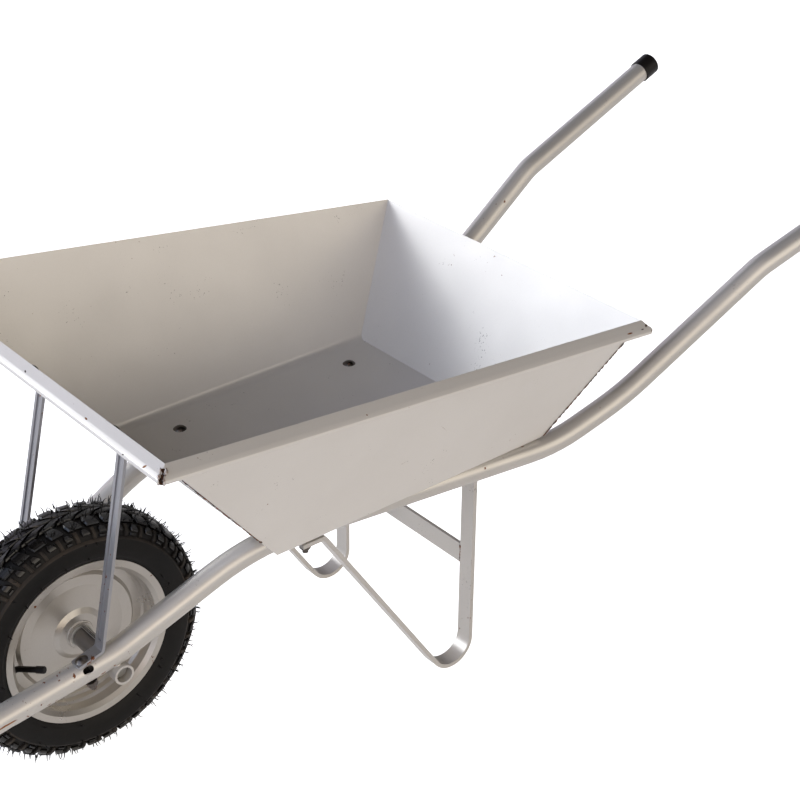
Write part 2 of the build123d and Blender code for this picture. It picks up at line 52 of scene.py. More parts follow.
def meshPiece(name, verts, faces, materials, faceSlots=None, smooth=True, body="frame"):
    mesh = bpy.data.meshes.new(name)
    mesh.from_pydata([tuple(v) for v in verts], [], faces)
    for material in materials:
        mesh.materials.append(material)
    if faceSlots:
        mesh.polygons.foreach_set("material_index", faceSlots)
    mesh.polygons.foreach_set("use_smooth", [smooth] * len(mesh.polygons))
    mesh.update()
    piece = bpy.data.objects.new(name, mesh)
    bpy.context.scene.collection.objects.link(piece)
    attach(piece, body)
    return piece


def newGroup(name, inputs, outputs):
    group = bpy.data.node_groups.new(name, "ShaderNodeTree")
    for label, kind, value in inputs:
        socket = group.interface.new_socket(label, in_out="INPUT", socket_type=kind)
        socket.default_value = value
    for label, kind in outputs:
        group.interface.new_socket(label, in_out="OUTPUT", socket_type=kind)
    return group, group.nodes.new("NodeGroupInput"), group.nodes.new("NodeGroupOutput")


def addNode(tree, kind, settings=None, **sockets):
    node = tree.nodes.new(kind)
    for key, value in (settings or {}).items():
        setattr(node, key, value)
    for key, value in sockets.items():
        numbered = key[0] == "i" and key[1:].isdigit()
        socket = node.inputs[int(key[1:]) if numbered else key.replace("_", " ")]
        if isinstance(value, bpy.types.NodeSocket):
            tree.links.new(value, socket)
        else:
            socket.default_value = value
    return node


def mathNode(tree, operation, a, b=0.0):
    return addNode(tree, "ShaderNodeMath", {"operation": operation}, i0=a, i1=b).outputs[0]


def vectorNode(tree, operation, a, b=(0, 0, 0)):
    return addNode(tree, "ShaderNodeVectorMath", {"operation": operation}, i0=a, i1=b)


def ramp(tree, value, low, high, out=(0.0, 1.0)):
    node = addNode(tree, "ShaderNodeMapRange", None, Value=value, From_Min=low, From_Max=high,
                   To_Min=out[0], To_Max=out[1])
    return node.outputs["Result"]


def mixColor(tree, factor, a, b):
    node = addNode(tree, "ShaderNodeMix", {"data_type": "RGBA"}, i0=factor, i6=a, i7=b)
    return node.outputs[2]


def objectPoint(tree):
    return tree.nodes.new("ShaderNodeTexCoord").outputs["Object"]


def noiseAt(tree, point, scale, detail=4.0, rough=0.55):
    node = addNode(tree, "ShaderNodeTexNoise", None,
                   Vector=point, Scale=scale, Detail=detail, Roughness=rough)
    return node.outputs["Fac"]


# Effects that several finishes share

def makeToneGroup():
    group, given, out = newGroup("paintTone", [
        ("Color", "NodeSocketColor", (0.6, 0.6, 0.6, 1)),
        ("Shade", "NodeSocketColor", (0.5, 0.5, 0.5, 1)),
        ("Amount", "NodeSocketFloat", 0.5),
    ], [("Color", "NodeSocketColor"), ("Cloud", "NodeSocketFloat")])
    point = objectPoint(group)
    cloud = ramp(group, noiseAt(group, point, 7.0, 5.0), 0.35, 0.7)
    grain = ramp(group, noiseAt(group, point, 420.0, 2.0), 0.3, 0.7)
    clouding, graining = mathNode(group, "MULTIPLY", cloud, 0.8), mathNode(group, "MULTIPLY", grain, 0.35)
    both = mathNode(group, "ADD", clouding, graining)
    factor = mathNode(group, "MULTIPLY", both, given.outputs["Amount"])
    mixed = mixColor(group, factor, given.outputs["Color"], given.outputs["Shade"])
    group.links.new(mixed, out.inputs["Color"])
    group.links.new(cloud, out.inputs["Cloud"])
    return group


def makePeelGroup():
    group, given, out = newGroup("orangePeel", [
        ("Peel", "NodeSocketFloat", 0.1),
        ("Wave", "NodeSocketFloat", 0.5),
    ], [("Height", "NodeSocketFloat")])
    point = objectPoint(group)
    peel = mathNode(group, "MULTIPLY", noiseAt(group, point, 260.0, 3.0), given.outputs["Peel"])
    wave = mathNode(group, "MULTIPLY", noiseAt(group, point, 9.0, 2.0, 0.4), given.outputs["Wave"])
    group.links.new(mathNode(group, "ADD", peel, wave), out.inputs["Height"])
    return group


def makeFleckGroup():
    group, given, out = newGroup("flecks", [
        ("Scale", "NodeSocketFloat", 60.0),
        ("Rarity", "NodeSocketFloat", 0.72),
        ("Patch Scale", "NodeSocketFloat", 9.0),
    ], [("Mask", "NodeSocketFloat")])
    point = objectPoint(group)
    spots = noiseAt(group, point, given.outputs["Scale"], 3.0, 0.6)
    patch = noiseAt(group, point, given.outputs["Patch Scale"], 2.0, 0.5)
    spotShare, patchShare = mathNode(group, "MULTIPLY", spots, 0.6), mathNode(group, "MULTIPLY", patch, 0.4)
    total = mathNode(group, "ADD", spotShare, patchShare)
    over = mathNode(group, "SUBTRACT", total, given.outputs["Rarity"])
    clamp = addNode(group, "ShaderNodeMath", {"operation": "MULTIPLY", "use_clamp": True}, i0=over, i1=60.0)
    group.links.new(clamp.outputs[0], out.inputs["Mask"])
    return group


def makeEdgeGroup():
    group, given, out = newGroup("wornEdges", [
        ("Radius", "NodeSocketFloat", 0.0015),
        ("Patchiness", "NodeSocketFloat", 0.55),
        ("Scale", "NodeSocketFloat", 45.0),
    ], [("Mask", "NodeSocketFloat")])
    bevel = addNode(group, "ShaderNodeBevel", {"samples": 4}, Radius=given.outputs["Radius"])
    plain = group.nodes.new("ShaderNodeNewGeometry")
    dot = vectorNode(group, "DOT_PRODUCT", bevel.outputs[0], plain.outputs["Normal"])
    edge = ramp(group, dot.outputs["Value"], 0.985, 0.93)
    blotches = noiseAt(group, objectPoint(group), given.outputs["Scale"], 4.0, 0.65)
    patch = ramp(group, blotches, given.outputs["Patchiness"], 0.8)
    group.links.new(mathNode(group, "MULTIPLY", edge, patch), out.inputs["Mask"])
    return group


def makeDustGroup():
    group, given, out = newGroup("dust", [
        ("Scale", "NodeSocketFloat", 14.0),
        ("Amount", "NodeSocketFloat", 0.3),
    ], [("Mask", "NodeSocketFloat")])
    blotches = noiseAt(group, objectPoint(group), given.outputs["Scale"], 6.0, 0.65)
    cloud = ramp(group, blotches, 0.42, 0.75)
    group.links.new(mathNode(group, "MULTIPLY", cloud, given.outputs["Amount"]), out.inputs["Mask"])
    return group


effects = {
    "tone": makeToneGroup(), "peel": makePeelGroup(), "flecks": makeFleckGroup(),
    "edges": makeEdgeGroup(), "dust": makeDustGroup(),
}


def useGroup(tree, effect, **sockets):
    node = tree.nodes.new("ShaderNodeGroup")
    node.node_tree = effects[effect]
    for key, value in sockets.items():
        node.inputs[key.replace("_", " ")].default_value = value
    return node


def startMaterial(name):
    material = bpy.data.materials.new(name)
    material.use_nodes = True
    tree = material.node_tree
    return material, tree, tree.nodes["Principled BSDF"]


# Finishes

rustColor = (0.17, 0.055, 0.018, 1)
darkChip = (0.035, 0.028, 0.024, 1)
speckColor = (0.23, 0.21, 0.19, 1)


# The pipes inside the fork, darkened in colour as painted shade under the frame tube: a cylinder round the axle
# line
pipeShadeZone = {"radius": 0.0139, "radiusFade": 0.0006, "half": 0.094, "halfFade": 0.004}


def nearAxle(tree):
    radius, half, fade = pipeShadeZone["radius"], pipeShadeZone["half"], pipeShadeZone["halfFade"]
    place = vectorNode(tree, "SUBTRACT", objectPoint(tree), tuple(axleAt)).outputs[0]
    flat = vectorNode(tree, "MULTIPLY", place, (1, 0, 1)).outputs[0]
    away = vectorNode(tree, "LENGTH", flat).outputs["Value"]
    side = mathNode(tree, "ABSOLUTE", addNode(tree, "ShaderNodeSeparateXYZ", None, Vector=place).outputs["Y"])
    within = ramp(tree, away, radius + pipeShadeZone["radiusFade"], radius)
    return mathNode(tree, "MULTIPLY", within, ramp(tree, side, half + fade, half - fade))


def enamel(name, look):
    material, tree, shader = startMaterial(name)
    tone = useGroup(tree, "tone", Color=look["color"], Shade=look["shade"], Amount=look["cloud"])
    rust = useGroup(tree, "flecks", Scale=look["rustScale"], Rarity=look["rustRarity"], Patch_Scale=8.0)
    edges = useGroup(tree, "edges", Radius=look["edgeRadius"], Patchiness=look["edgePatch"])
    specks = useGroup(tree, "flecks", Scale=330.0, Rarity=look["speckRarity"], Patch_Scale=21.0)
    color = mixColor(tree, specks.outputs["Mask"], tone.outputs["Color"], speckColor)
    color = mixColor(tree, rust.outputs["Mask"], color, rustColor)
    color = mixColor(tree, edges.outputs["Mask"], color, darkChip)
    # painted shade: the axle pipes take a darker colour where the frame tube shades them
    if "pipeShade" in look:
        color = mixColor(tree, nearAxle(tree), color, look["pipeShade"])
    tree.links.new(color, shader.inputs["Base Color"])
    worn = mathNode(tree, "MAXIMUM", rust.outputs["Mask"], edges.outputs["Mask"])
    rough = ramp(tree, tone.outputs["Cloud"], 0.0, 1.0, (look["rough"] - 0.04, look["rough"] + 0.05))
    rougher = mathNode(tree, "ADD", rough, mathNode(tree, "MULTIPLY", worn, 0.35))
    tree.links.new(rougher, shader.inputs["Roughness"])
    shader.inputs["Metallic"].default_value = look["metallic"]
    shader.inputs["Coat Roughness"].default_value = look["coatRough"]
    tree.links.new(ramp(tree, worn, 0.0, 1.0, (look["coat"], 0.0)), shader.inputs["Coat Weight"])
    peel = useGroup(tree, "peel", Peel=look["peel"], Wave=look["wave"])
    height = mathNode(tree, "SUBTRACT", peel.outputs["Height"], mathNode(tree, "MULTIPLY", worn, 0.25))
    bump = addNode(tree, "ShaderNodeBump", None, Strength=look["bump"], Distance=0.001, Height=height)
    tree.links.new(bump.outputs["Normal"], shader.inputs["Normal"])
    return material


enamelLook = {
    "color": (0.60, 0.585, 0.56, 1), "shade": (0.53, 0.515, 0.49, 1), "cloud": 0.5,
    "rustScale": 120.0, "rustRarity": 0.655, "edgeRadius": 0.0012, "edgePatch": 0.62, "speckRarity": 0.66,
    "rough": 0.34, "metallic": 0.45, "coat": 0.3, "coatRough": 0.16, "peel": 0.12, "wave": 0.6, "bump": 0.35,
}
framePaint = enamel("framePaint", {
    **enamelLook, "color": (0.56, 0.535, 0.50, 1), "shade": (0.48, 0.455, 0.42, 1), "metallic": 0.5,
    # the colour on the next line is painted shade on the axle pipes
    "pipeShade": (0.17, 0.155, 0.14, 1),
})
trayPaint = enamel("trayPaint", {
    **enamelLook, "color": (0.66, 0.635, 0.60, 1), "shade": (0.60, 0.575, 0.54, 1), "metallic": 0.2,
    "rustRarity": 0.69, "speckRarity": 0.668, "wave": 1.4, "bump": 0.4,
})
bracePaint = enamel("bracePaint", {
    **enamelLook, "color": (0.36, 0.36, 0.38, 1), "shade": (0.28, 0.28, 0.29, 1),
    "rough": 0.3, "metallic": 0.7,
})
wheelPaint = enamel("wheelPaint", {
    **enamelLook, "color": (0.50, 0.475, 0.44, 1), "shade": (0.42, 0.39, 0.35, 1), "rough": 0.30,
    "metallic": 0.7, "rustRarity": 0.675,
})


def metal(name, look):
    material, tree, shader = startMaterial(name)
    tone = useGroup(tree, "tone", Color=look["color"], Shade=look["shade"], Amount=look["cloud"])
    rust = useGroup(tree, "flecks", Scale=240.0, Rarity=look["rustRarity"], Patch_Scale=60.0)
    edges = useGroup(tree, "edges", Radius=0.0008, Patchiness=0.35, Scale=200.0)
    color = mixColor(tree, rust.outputs["Mask"], tone.outputs["Color"], rustColor)
    color = mixColor(tree, edges.outputs["Mask"], color, look["edge"])
    tree.links.new(color, shader.inputs["Base Color"])
    tree.links.new(ramp(tree, rust.outputs["Mask"], 0.0, 1.0, (0.95, 0.1)), shader.inputs["Metallic"])
    rough = ramp(tree, tone.outputs["Cloud"], 0.0, 1.0, (look["rough"], look["rough"] + 0.18))
    rougher = mathNode(tree, "MAXIMUM", rough, mathNode(tree, "MULTIPLY", rust.outputs["Mask"], 0.8))
    tree.links.new(rougher, shader.inputs["Roughness"])
    peel = useGroup(tree, "peel", Peel=0.4, Wave=0.2)
    bump = addNode(tree, "ShaderNodeBump", None, Strength=0.4, Distance=0.0006, Height=peel.outputs["Height"])
    tree.links.new(bump.outputs["Normal"], shader.inputs["Normal"])
    return material


fastenerSteel = metal("fastenerSteel", {
    "color": (0.17, 0.15, 0.135, 1), "shade": (0.055, 0.046, 0.04, 1), "edge": (0.45, 0.43, 0.40, 1),
    "cloud": 0.9, "rustRarity": 0.62, "rough": 0.22,
})
bareSteel = metal("bareSteel", {
    "color": (0.45, 0.44, 0.42, 1), "shade": (0.28, 0.27, 0.25, 1), "edge": (0.6, 0.6, 0.58, 1),
    "cloud": 0.7, "rustRarity": 0.62, "rough": 0.38,
})


def softBlack(name, look):
    material, tree, shader = startMaterial(name)
    shader.inputs["Specular IOR Level"].default_value = look["shine"]
    dust = useGroup(tree, "dust", Scale=look["dustScale"], Amount=look["dust"])
    color = mixColor(tree, dust.outputs["Mask"], look["color"], look["dustColor"])
    tree.links.new(color, shader.inputs["Base Color"])
    rough = ramp(tree, dust.outputs["Mask"], 0.0, 1.0, (look["rough"], look["rough"] + 0.3))
    tree.links.new(rough, shader.inputs["Roughness"])
    peel = useGroup(tree, "peel", Peel=look["grain"], Wave=0.2)
    bump = addNode(tree, "ShaderNodeBump", None, Strength=0.5, Distance=0.0008, Height=peel.outputs["Height"])
    tree.links.new(bump.outputs["Normal"], shader.inputs["Normal"])
    return material


rubberLook = {
    "color": (0.0022, 0.0017, 0.0014, 1), "dustColor": (0.012, 0.009, 0.0065, 1), "dustScale": 18.0,
    "dust": 0.3, "rough": 0.40, "grain": 0.35, "shine": 0.22,
}
treadRubber = softBlack("treadRubber", {
    **rubberLook, "rough": 0.24, "dust": 0.1, "shine": 0.5, "grain": 0.15,
})
sideRubber = softBlack("sideRubber", {**rubberLook, "rough": 0.5})
# dusty rubber: real dust, and also a painted highlight on the shoulder ledge and painted sheen on the posts
dustAndSheenRubber = softBlack("dustAndSheenRubber", {
    **rubberLook, "color": (0.010, 0.0078, 0.006, 1), "dustColor": (0.060, 0.046, 0.034, 1),
    "rough": 0.5, "dust": 0.7,
})
stemRubber = softBlack("stemRubber", {**rubberLook, "rough": 0.38, "dust": 0.1})
capPlastic = softBlack("capPlastic", {
    **rubberLook, "color": (0.007, 0.006, 0.006, 1), "rough": 0.35, "dust": 0.25, "dustScale": 40.0,
})
bushPlastic = softBlack("bushPlastic", {
    **rubberLook, "color": (0.55, 0.53, 0.48, 1), "dustColor": (0.25, 0.22, 0.18, 1), "rough": 0.45,
})
weldSteel = metal("weldSteel", {
    "color": (0.16, 0.13, 0.11, 1), "shade": (0.05, 0.035, 0.028, 1), "edge": (0.3, 0.27, 0.24, 1),
    "cloud": 0.9, "rustRarity": 0.50, "rough": 0.5,
})
# near-black with rust flecks: dark chips, and painted shade inside the open front corners
darkChipsAndGapShade = softBlack("darkChipsAndGapShade", {
    **rubberLook, "color": (0.012, 0.008, 0.006, 1), "dustColor": (0.16, 0.06, 0.02, 1), "dustScale": 300.0,
    "dust": 0.6, "rough": 0.7, "shine": 0.1,
})
chippedPaint = enamel("chippedPaint", {
    **enamelLook, "color": (0.70, 0.66, 0.62, 1), "shade": (0.40, 0.34, 0.30, 1), "cloud": 1.0,
    "rustScale": 420.0, "rustRarity": 0.55, "edgePatch": 0.3, "bump": 0.8, "peel": 0.8,
})
rustPatch = softBlack("rustPatch", {
    **rubberLook, "color": (0.16, 0.052, 0.016, 1), "dustColor": (0.40, 0.20, 0.08, 1), "dustScale": 260.0,
    "dust": 0.9, "rough": 0.7,
})
print("stage: materials made")

slotMaterials = {
    "frame_paint": framePaint, "tray_paint": trayPaint, "brace_paint": bracePaint, "wheel_paint": wheelPaint,
    "dull_fastener": fastenerSteel, "bare_steel": bareSteel, "black_plastic": capPlastic,
    "bush_plastic": bushPlastic, "tyre_rubber": sideRubber, "tube_rubber": stemRubber,
}
for part in frame["record"]["subparts"]:
    mesh = nodes[part["node"]].data
    mesh.materials.clear()
    mesh.materials.append(slotMaterials[part["material_slot"]])


# Tyre: a smooth carcass with raised blocks, ledges and moulding hairs

tyreLow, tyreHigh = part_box("tyre")
tyreShape = {
    "radius": (tyreHigh.z - tyreLow.z) / 2, "halfWidth": (tyreHigh.y - tyreLow.y) / 2,
    "treadDepth": 0.0050, "pitches": 42, "rounds": 336,
    "beadRadius": 0.1145, "beadSide": 0.0344,
}


def tyreProfile():
    # (side, radius) from the crown to the bead, along the bottom of the tread
    top = tyreShape["radius"] - tyreShape["treadDepth"]
    half = tyreShape["halfWidth"]
    return [
        (0.0, top), (0.011, top - 0.0004), (0.021, top - 0.0022), (half - 0.0125, top - 0.0062),
        (half - 0.0075, top - 0.0120), (half - 0.0048, top - 0.0185), (half - 0.0020, top - 0.0195),
        (half - 0.0010, top - 0.0215), (half - 0.0002, top - 0.0290), (half - 0.0006, top - 0.0370),
        (half - 0.0024, top - 0.0450), (half - 0.0034, top - 0.0462), (half - 0.0052, top - 0.0505),
        (tyreShape["beadSide"] + 0.0004, tyreShape["beadRadius"] + 0.0012),
        (tyreShape["beadSide"], tyreShape["beadRadius"]),
    ]


def resample(knots, step):
    line = [Vector(k) for k in knots]
    out = []
    for i in range(len(line) - 1):
        a, b, c, d = line[max(i - 1, 0)], line[i], line[i + 1], line[min(i + 2, len(line) - 1)]
        count = max(1, int((c - b).length / step))
        for k in range(count):
            t = k / count
            bend, twist = 2 * a - 5 * b + 4 * c - d, 3 * b - a - 3 * c + d
            out.append(0.5 * ((2 * b) + (c - a) * t + bend * t * t + twist * t ** 3))
    return out + [line[-1]]


profileLine = resample(tyreProfile(), 0.0016)
profileRun = [0.0]
for a, b in zip(profileLine, profileLine[1:]):
    profileRun.append(profileRun[-1] + (b - a).length)


def onTyre(angle, run, lift):
    # a point over the carcass: angle round the axle, distance from the crown line, height above it
    side = -1 if run < 0 else 1
    want = min(abs(run), profileRun[-1] - 1e-6)
    k = max(i for i, r in enumerate(profileRun) if r <= want)
    k = min(k, len(profileLine) - 2)
    t = (want - profileRun[k]) / (profileRun[k + 1] - profileRun[k])
    spot = profileLine[k].lerp(profileLine[k + 1], t)
    along = (profileLine[k + 1] - profileLine[k]).normalized()
    spot = spot + Vector((-along.y, along.x)) * lift
    return axleAt + Vector((spot.y * math.cos(angle), side * spot.x, spot.y * math.sin(angle)))


def tyreBlocks(pitch):
    # each block: centre and size along the tread (turn, in pitches) and across it (run), its slant and height
    centre = {
        "run": 0.0062, "across": 0.0120, "turn": 0.30, "wide": 0.80,
        "slant": -0.90, "lift": 0.0050, "house": 0.0,
    }
    middle = {
        "run": 0.0205, "across": 0.0145, "turn": 0.0, "wide": 0.76,
        "slant": 0.22, "lift": 0.0048, "house": 0.55,
    }
    lug = {
        "run": 0.0340, "across": 0.0085, "turn": 0.5, "wide": 0.46,
        "slant": 0.16, "lift": 0.0036, "house": 0.75,
    }
    box = {
        "run": 0.0414, "across": 0.0034, "turn": 0.5, "wide": 0.40,
        "slant": 0.0, "lift": 0.0022, "house": 0.0,
    }
    post = {
        "run": 0.0370, "across": 0.0150, "turn": 0.0, "wide": 0.22,
        "slant": 0.08, "lift": 0.0030, "house": 0.0,
    }
    # the posts take slot 3, the dusty rubber: dust, and painted sheen where they face the light
    blocks = [(centre, 0), (middle, 0), (lug, 0), (post, 1)]
    return blocks + [(box, 0)] if pitch % 2 else blocks


def addBlock(verts, faces, slots, block, pitch, side, slot, rng):
    stepAngle = 2 * math.pi / tyreShape["pitches"]
    wide = block["wide"] * rng.uniform(0.95, 1.04)
    start = len(verts)
    rows = 4
    layers = ((-0.0012, 1.0), (0.62, 0.97), (1.0, 0.80))
    for level, shrink in layers:
        lift = level if level < 0 else block["lift"] * level
        for i in range(rows + 1):
            v = i / rows * 2 - 1
            run = block["run"] + v * block["across"] / 2 * shrink
            skew = block["slant"] * v * 0.5
            crown = lift + (0.0004 * (1 - v * v) if level == 1.0 else 0)
            narrow = 1 - block["house"] * max(0.0, -v - 0.1)
            for h in (-1, 1):
                cut = narrow if h < 0 else 1 - 0.35 * (1 - narrow)
                turn = pitch + block["turn"] + skew + h * wide / 2 * shrink * cut
                verts.append(onTyre((turn + (0.5 if side < 0 else 0)) * stepAngle, side * run, crown))
    count = 2 * (rows + 1)

    def quad(a, b, c, d):
        faces.append((a, b, c, d) if side > 0 else (d, c, b, a))
        slots.append(slot)

    for layer in range(len(layers) - 1):
        low, high = start + layer * count, start + (layer + 1) * count
        for i in range(rows):
            quad(low + 2 * i + 2, low + 2 * i, high + 2 * i, high + 2 * i + 2)
            quad(low + 2 * i + 1, low + 2 * i + 3, high + 2 * i + 3, high + 2 * i + 1)
        quad(low, low + 1, high + 1, high)
        quad(low + 2 * rows + 1, low + 2 * rows, high + 2 * rows, high + 2 * rows + 1)
    top = start + (len(layers) - 1) * count
    for i in range(rows):
        quad(top + 2 * i, top + 2 * i + 1, top + 2 * i + 3, top + 2 * i + 2)


def addHair(verts, faces, slots, angle, run, length, rng):
    # hairs on the tread stand on the blocks
    raised = 0.0042 if abs(run) < 0.029 else 0.0
    root = onTyre(angle, run, raised - 0.0004)
    tip = onTyre(angle, run, raised + length)
    out = (tip - root).normalized()
    lean = Vector((rng.uniform(-1, 1), rng.uniform(-1, 1), rng.uniform(-1, 1))) * rng.uniform(0.15, 0.9)
    across = out.cross(Vector((0.3, 0.8, 0.5))).normalized()
    other = out.cross(across)
    start = len(verts)
    rings = 4
    for i in range(rings + 1):
        t = i / rings
        middle = root + (out + lean * t * t).normalized() * length * t
        thick = 0.00105 * (1 - 0.65 * t)
        for k in range(3):
            turn = k * 2 * math.pi / 3
            verts.append(middle + (across * math.cos(turn) + other * math.sin(turn)) * thick)
    for i in range(rings):
        for k in range(3):
            a, b = start + 3 * i + k, start + 3 * i + (k + 1) % 3
            faces.append((a, b, b + 3, a + 3))
            slots.append(2)
    faces.append((start + 3 * rings, start + 3 * rings + 1, start + 3 * rings + 2))
    slots.append(2)


def onLedge(spot):
    # the narrow step that closes the pockets of the shoulder; its faces take the dusty rubber as a painted
    # highlight line
    out = tyreShape["halfWidth"] - abs(spot.x)
    deep = tyreShape["radius"] - tyreShape["treadDepth"] - spot.y
    return out < 0.0052 and 0.0180 < deep < 0.0215


def buildTyre():
    rng = random.Random(7)
    verts, faces, slots = [], [], []
    rounds = tyreShape["rounds"]
    line = [Vector((-p.x, p.y)) for p in reversed(profileLine)] + profileLine[1:]
    for i in range(rounds):
        angle = 2 * math.pi * i / rounds
        for p in line:
            verts.append(axleAt + Vector((p.y * math.cos(angle), p.x, p.y * math.sin(angle))))
    n = len(line)
    for i in range(rounds):
        for k in range(n - 1):
            a, b = i * n + k, ((i + 1) % rounds) * n + k
            faces.append((a, a + 1, b + 1, b))
            # the ledge faces take slot 3, the dusty rubber, as a painted highlight line
            slots.append(3 if onLedge(line[k]) else 0)
        a, b = i * n, ((i + 1) % rounds) * n
        faces.append((a + n - 1, a, b, b + n - 1))
        slots.append(0)
    carcass = len(faces)
    for pitch in range(tyreShape["pitches"]):
        for side in (1, -1):
            for block, slot in tyreBlocks(pitch):
                addBlock(verts, faces, slots, block, pitch, side, 1 + slot * 2, rng)
    blocks = len(faces)
    # (distance from the crown line, hairs in a pitch, shortest, longest)
    rows = (
        (0.002, 0.9, 0.006, 0.011), (0.010, 1.3, 0.006, 0.012), (0.016, 1.2, 0.006, 0.012),
        (0.022, 1.6, 0.006, 0.012), (0.027, 1.7, 0.006, 0.011), (0.034, 0.6, 0.005, 0.009),
        (0.050, 0.3, 0.004, 0.008), (0.072, 0.45, 0.005, 0.010),
    )
    for pitch in range(tyreShape["pitches"]):
        for side in (1, -1):
            for run, chance, short, far in rows:
                for hair in range(int(chance + rng.random())):
                    angle = (pitch + rng.uniform(0, 1)) * 2 * math.pi / tyreShape["pitches"]
                    across = side * (run + rng.uniform(-0.002, 0.002))
                    addHair(verts, faces, slots, angle, across, rng.uniform(short, far), rng)
    tyre = meshPiece("tyreMoulded", verts, faces, [sideRubber, treadRubber, stemRubber, dustAndSheenRubber],
                     slots, body="wheel")
    rounded = [i < carcass or i >= blocks for i in range(len(faces))]
    tyre.data.polygons.foreach_set("use_smooth", rounded)
    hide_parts("tyre")


buildTyre()
print("stage: tyre made")


# Tray: the rim rolls over outward, and its front corners stay open

trayLow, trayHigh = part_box("tray")
rimShape = {"slope": 2.22, "flange": 0.0138, "lip": 0.0165, "roll": 0.88, "taper": 0.03894}


def surfaceOf(node):
    source = nodes[node]
    verts = [source.matrix_world @ v.co for v in source.data.vertices]
    return BVHTree.FromPolygons(verts, [tuple(p.vertices) for p in source.data.polygons])


def outsideWalls(spot):
    # how far a point lies outside the tray's mouth
    frontWide = trayHigh.y - rimShape["flange"]
    frontAt, rearAt = trayHigh.x - rimShape["flange"], trayLow.x + rimShape["flange"]
    along = (spot.x - rearAt) / (frontAt - rearAt)
    side = abs(spot.y) - (frontWide - rimShape["taper"] * (1 - along))
    return max(side, spot.x - frontAt, rearAt - spot.x)


def rollRim():
    source = nodes["tray"]
    mesh = source.data.copy()
    mesh.transform(source.matrix_world)
    slope = math.tan(math.radians(rimShape["slope"]))
    for v in mesh.vertices:
        out = outsideWalls(v.co)
        top = trayHigh.z + slope * (v.co.x - trayHigh.x)
        depth = min(max((top - v.co.z) / rimShape["lip"], 0.0), 1.0)
        if out > 0 and depth < 1.0:
            v.co.z -= min(out, rimShape["flange"]) * rimShape["roll"] * (1 - depth)
    mesh.materials.clear()
    mesh.materials.append(trayPaint)
    tray = bpy.data.objects.new("trayRolled", mesh)
    bpy.context.scene.collection.objects.link(tray)
    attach(tray, "frame")
    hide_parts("tray")
    verts = [v.co.copy() for v in mesh.vertices]
    return BVHTree.FromPolygons(verts, [tuple(p.vertices) for p in mesh.polygons])


traySkin = rollRim()


def ribbon(name, path, wide, high, material, ragged):
    # a low irregular bead: path holds (point, outward, across)
    verts, faces = [], []
    profile = ((-1.0, -0.3), (-0.62, 0.62), (0.0, 1.0), (0.62, 0.62), (1.0, -0.3))
    for i, (point, out, across) in enumerate(path):
        swell = 1 + ragged * noise.noise(point * 260) + 0.18 * math.sin(i * 1.9)
        shift = across * (wide * 0.35 * ragged * noise.noise(point * 170 + Vector((3, 1, 7))))
        for u, h in profile:
            verts.append(point + shift + across * (u * wide * swell) + out * (h * high * swell))
    n = len(profile)
    for i in range(len(path) - 1):
        for k in range(n - 1):
            a = i * n + k
            faces.append((a, a + n, a + n + 1, a + 1))
    return meshPiece(name, verts, faces, [material])


seamLook = {
    "wide": 0.0013, "high": 0.0009, "ragged": 1.3, "steps": 150, "lift": 0.0003,
    "aboveFloor": 0.045, "belowFrontRim": 0.030, "belowRearRim": 0.058,
}
cornerLook = {
    "inset": 0.010, "below": 0.012, "reach": 0.03, "castFrom": 0.06,
    "steps": 44, "startTurn": 96, "sweep": 120,
    "wide": 0.0021, "high": 0.0005, "tornWide": 0.0014, "tornHigh": 0.0016,
}


def wallCorner(z, end, side):
    # where the side wall's outer face meets the front or rear wall's at one height
    middle, probe = (trayLow.x + trayHigh.x) / 2, 0.06
    across = traySkin.ray_cast(Vector((middle + end * 1.0, 0.0, z)), Vector((-end, 0, 0)))[0]
    if across is None:
        return None
    starts = [Vector((x, side * 0.6, z)) for x in (middle - probe, middle + probe)]
    spots = [traySkin.ray_cast(start, Vector((0, -side, 0)))[0] for start in starts]
    if None in spots:
        return None
    lean = (spots[1].y - spots[0].y) / (2 * probe)
    return Vector((across.x, spots[0].y + lean * (across.x - spots[0].x), z))


def addTraySeams():
    floorZ = trayLow.z + seamLook["aboveFloor"]
    for end, endName in ((1, "Front"), (-1, "Rear")):
        for side, sideName in ((1, "Left"), (-1, "Right")):
            top = trayHigh.z - seamLook["belowFrontRim" if end > 0 else "belowRearRim"]
            low, high = wallCorner(floorZ, end, side), wallCorner(top, end, side)
            if low is None or high is None:
                continue
            run = (high - low).normalized()
            out = Vector((end, side, -0.4)).normalized()
            out = (out - run * out.dot(run)).normalized()
            across = run.cross(out)
            count = seamLook["steps"]
            spots = [low.lerp(high, i / count) + out * seamLook["lift"] for i in range(count + 1)]
            path = [(spot, out, across) for spot in spots]
            ribbon("wallSeam" + endName + sideName, path, seamLook["wide"], seamLook["high"], weldSteel,
                   seamLook["ragged"])


